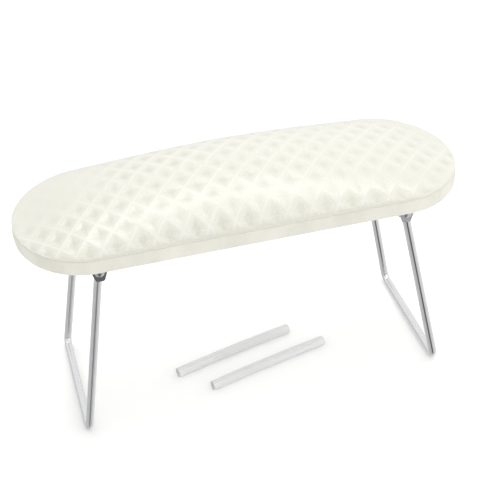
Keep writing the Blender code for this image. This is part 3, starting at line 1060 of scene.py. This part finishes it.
def sweep(shape: bmesh.types.BMesh, path: list[Vector], radius: float, sides: int,
          across: Vector) -> None:
    """Add a closed round wire along a path that lies in one plane.

    Args:
        shape: Where it goes.
        path: Its centre line.
        radius: Wire radius.
        sides: Sides of its section.
        across: The plane's normal.
    """
    across = across.normalized()
    rings = []
    for index, spot in enumerate(path):
        before = path[max(0, index - 1)]
        after = path[min(len(path) - 1, index + 1)]
        up = (after - before).normalized().cross(across).normalized()
        ring = []
        for side in range(sides):
            angle = 2 * math.pi * side / sides
            ring.append(shape.verts.new(spot + radius * (math.cos(angle) * across
                                                         + math.sin(angle) * up)))
        rings.append(ring)
    for lower, upper in zip(rings, rings[1:]):
        bridge(shape, lower, upper)
    shape.faces.new(list(reversed(rings[0])))
    shape.faces.new(rings[-1])


class Pad:
    """The padded top with its band, lining and inner parts."""

    def __init__(self, finishes: Finishes) -> None:
        """Keep the finishes and read the pad's form."""
        self.finishes = finishes
        self.form = PadForm()

    def build(self) -> None:
        """Make the soft pieces and dress the parts inside."""
        cushion = Cushion(self.form).build(self.finishes.top)
        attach(cushion, "pad")
        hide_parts("top_cover", "foam_pad")
        report(cushion)

        band = SideBand(self.form).build(self.finishes.band)
        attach(band, "pad")
        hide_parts("side_band")
        report(band)

        underside = Underside(self.form)
        lining = underside.build_lining(self.finishes.lining)
        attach(lining, "pad")
        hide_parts("bottom_lining")
        width = self.form.width - 2 * underside.inset
        area = width * (self.form.length - 2 * self.form.end_length)
        area += math.pi * width / 2 * (self.form.end_length - underside.inset)
        report(lining)

        staples = underside.build_staples(self.finishes.screw)
        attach(staples, "pad")
        report(staples)
        dress("foam_pad", self.finishes.foam)
        dress("base_board", self.finishes.board)


@dataclass
class Leg:
    """One wire leg with its two brackets, rivets and screws."""

    side: Side
    finishes: Finishes

    def build(self) -> None:
        """Dress the rod and its fittings."""
        dress(f"leg_{self.side.value}", self.finishes.rod)
        for row in Row:
            place = f"{row.value}_{self.side.value}"
            dress(f"bracket_{place}", self.finishes.bracket)
            dress(f"rivet_{place}", self.finishes.rivet)
            for end in ("outer", "inner"):
                dress(f"screw_{place}_{end}", self.finishes.screw)


@dataclass
class FootSleeve:
    """One loose silicone sleeve lying on the floor."""

    row: Row
    finishes: Finishes
    bow: float = 0.5 * MM
    wall: float = 1.1 * MM
    turn: float = SLEEVE_TURN
    length: float = 122 * MM
    diameter: float = 9.2 * MM
    sides: int = 48
    rings: int = 40
    soft_edge: float = 0.35 * MM

    def build(self) -> None:
        """Make the sleeve with softened ends, slightly bowed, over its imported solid."""
        node = f"sleeve_{self.row.value}"
        low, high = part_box(node)
        middle = (low + high) / 2
        shape = bmesh.new()
        outer, inner = self.diameter / 2, self.diameter / 2 - self.wall
        half = self.length / 2
        soft = self.soft_edge
        profile = [(-half + soft, outer)]
        profile += [(-half + 2 * half * s / self.rings, outer) for s in range(1, self.rings)]
        profile += [(half - soft, outer), (half, outer - soft), (half, inner + soft),
                    (half - soft, inner)]
        profile += [(half - 2 * half * s / self.rings, inner) for s in range(1, self.rings)]
        profile += [(-half + soft, inner), (-half, inner + soft), (-half, outer - soft)]
        loops = []
        for along, radius in profile:
            shift = self.bow * (1 - 2 * (along / half) ** 2)
            loop = []
            for side in range(self.sides):
                angle = 2 * math.pi * side / self.sides
                spot = Vector((along, shift + radius * math.cos(angle), radius * math.sin(angle)))
                loop.append(shape.verts.new(spot))
            loops.append(loop)
        for lower, upper in zip(loops, loops[1:] + loops[:1]):
            bridge(shape, lower, upper)
        place = Matrix.Translation(middle) @ Matrix.Rotation(self.turn, 4, "Z")
        bmesh.ops.transform(shape, matrix=place, verts=shape.verts)
        sleeve = object_from(f"{node}_tube", shape, self.finishes.silicone)
        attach(sleeve, node)
        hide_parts(node)
        report(sleeve)


def dress(node: str, finish: bpy.types.Material) -> None:
    """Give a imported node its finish.

    Args:
        node: Its name.
        finish: The material.
    """
    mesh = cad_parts[node].data
    mesh.materials.clear()
    mesh.materials.append(finish)


def report(item: bpy.types.Object) -> None:
    """Log a finished piece."""
    log.info("%s: %d faces", item.name, len(item.data.polygons))


# ---------------------------------------------------------------- the studio
@dataclass
class Studio:
    """Pale floor, soft lights and the camera."""

    camera_place: Point3 = (-0.21664, -0.95932, 0.80605)
    camera_right: Point3 = (0.96579, -0.25414, -0.05154)
    camera_up: Point3 = (0.18533, 0.53747, 0.82267)
    camera_ahead: Point3 = (0.18137, 0.80408, -0.56618)
    lens: float = 98.164
    floor_size: float = 40.0
    world_strength: float = 0.93
    strips: tuple[Point2, ...] = (
        (0.0, 0.14), (0.035, 0.20), (0.075, 0.55), (0.20, 0.66), (0.34, 0.66), (0.45, 0.78),
        (0.55, 0.90), (0.66, 0.90), (0.80, 0.90), (0.925, 0.72), (0.965, 0.20), (1.0, 0.14))

    def build(self) -> None:
        """Set everything up."""
        self.build_camera()
        self.build_floor()
        self.build_world()
        self.build_lights()
        bpy.context.scene.view_settings.view_transform = "Standard"

    def build_camera(self) -> None:
        """Add the camera."""
        data = bpy.data.cameras.new("camera")
        data.lens = self.lens
        data.sensor_width = 36.0
        data.clip_start, data.clip_end = 0.01, 100.0
        item = bpy.data.objects.new("camera", data)
        bpy.context.scene.collection.objects.link(item)
        axes = Matrix((self.camera_right, self.camera_up,
                       tuple(-c for c in self.camera_ahead))).transposed()
        item.matrix_world = Matrix.Translation(self.camera_place) @ axes.to_4x4()
        bpy.context.scene.camera = item

    def build_floor(self) -> None:
        """Add the floor."""
        sheet = NodeSheet("studio_floor")
        cloud = sheet.noise(0.8, 2.0)
        tone = sheet.curve(cloud, {0.3: (0.95, 0.95, 0.95), 0.7: (0.97, 0.97, 0.97)})
        sheet.set(Base_Color=tone.outputs["Color"], Roughness=0.9, Specular_IOR_Level=0.0,
                  Emission_Color=(1.0, 1.0, 1.0, 1.0), Emission_Strength=0.10)
        shape = bmesh.new()
        bmesh.ops.create_grid(shape, x_segments=1, y_segments=1, size=self.floor_size / 2)
        floor = object_from("studio_floor", shape, sheet.material, smooth=False)
        floor.visible_glossy = False

    def build_world(self) -> None:
        """Light the room evenly, with darker strips low down for the chrome to mirror."""
        world = bpy.data.worlds.new("studio")
        bpy.context.scene.world = world
        world.use_nodes = True
        tree = world.node_tree
        ground = tree.nodes["Background"]
        place = tree.nodes.new("ShaderNodeTexCoord")
        split = tree.nodes.new("ShaderNodeSeparateXYZ")
        tree.links.new(place.outputs["Generated"], split.inputs["Vector"])
        turn = tree.nodes.new("ShaderNodeMath")
        turn.operation = "ARCTAN2"
        tree.links.new(split.outputs["X"], turn.inputs[0])
        tree.links.new(split.outputs["Y"], turn.inputs[1])
        spread = tree.nodes.new("ShaderNodeMapRange")
        spread.inputs["From Min"].default_value = -math.pi
        spread.inputs["From Max"].default_value = math.pi
        tree.links.new(turn.outputs[0], spread.inputs["Value"])
        strips = tree.nodes.new("ShaderNodeValToRGB")
        while len(strips.color_ramp.elements) < len(self.strips):
            strips.color_ramp.elements.new(0.5)
        for element, (spot, grey) in zip(strips.color_ramp.elements, self.strips):
            element.position = spot
            element.color = (grey, grey, grey, 1.0)
        tree.links.new(spread.outputs["Result"], strips.inputs["Fac"])
        high = tree.nodes.new("ShaderNodeMapRange")
        high.inputs["From Min"].default_value = -0.05
        high.inputs["From Max"].default_value = 0.20
        tree.links.new(split.outputs["Z"], high.inputs["Value"])
        blend = tree.nodes.new("ShaderNodeMix")
        blend.data_type = "RGBA"
        blend.inputs[7].default_value = (1.0, 1.0, 1.0, 1.0)
        tree.links.new(high.outputs["Result"], blend.inputs[0])
        tree.links.new(strips.outputs["Color"], blend.inputs[6])
        tree.links.new(blend.outputs[2], ground.inputs["Color"])
        ground.inputs["Strength"].default_value = self.world_strength

    def build_lights(self) -> None:
        """Add a long softbox overhead and a weak fill from the front."""
        self._area("softbox", (0.12, 0.20, 1.15), (1.1, 0.30), 3.9)
        self._area("fill", (0.9, -1.4, 1.1), (1.4, 1.4), 5.0)

    @staticmethod
    def _area(name: str, place: Point3, size: Point2, power: float) -> None:
        """Add one area light aimed at the rest.

        Args:
            name: Its name.
            place: Where it hangs.
            size: Its width and height.
            power: Its power in watts.
        """
        data = bpy.data.lights.new(name, "AREA")
        data.shape = "RECTANGLE"
        data.size, data.size_y = size
        data.energy = power
        item = bpy.data.objects.new(name, data)
        bpy.context.scene.collection.objects.link(item)
        item.location = place
        aim = Vector((0, 0, 0.12)) - Vector(place)
        item.rotation_euler = aim.to_track_quat("-Z", "Y").to_euler()


def main() -> None:
    """Build the rest and its studio, piece by piece."""
    logging.basicConfig(level=logging.INFO, format="%(message)s")
    studio = Studio()
    studio.build()
    finishes = Finishes()
    Pad(finishes).build()
    for side in Side:
        Leg(side, finishes).build()
        log.info("leg and fittings: %s", side.value)
    for row in Row:
        FootSleeve(row, finishes).build()


if __name__ == "__main__":
    main()
